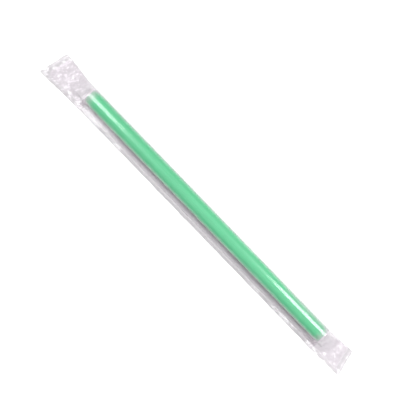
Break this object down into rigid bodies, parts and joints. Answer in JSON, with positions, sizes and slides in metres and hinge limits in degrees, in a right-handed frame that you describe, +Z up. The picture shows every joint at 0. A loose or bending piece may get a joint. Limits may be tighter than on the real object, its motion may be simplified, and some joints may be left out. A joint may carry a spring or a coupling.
{
  "type": "wrapped drinking straw",
  "caption": "Green plastic drinking straw sealed in its own clear film sleeve, lying flat.",
  "frame": {"origin": "middle of the underside of the box around the whole part", "axes": "+X along the straw, +Y towards the side where the film is snug, +Z up from the surface it lies on"},
  "size_m": [0.2828, 0.0212, 0.0116],
  "materials": {
    "straw_plastic": "satin",
    "clear_film": "gloss"
  },
  "bodies": {
    "root": {"straw": "straw_plastic", "film_sleeve": "clear_film"}
  },
  "joints": []
}
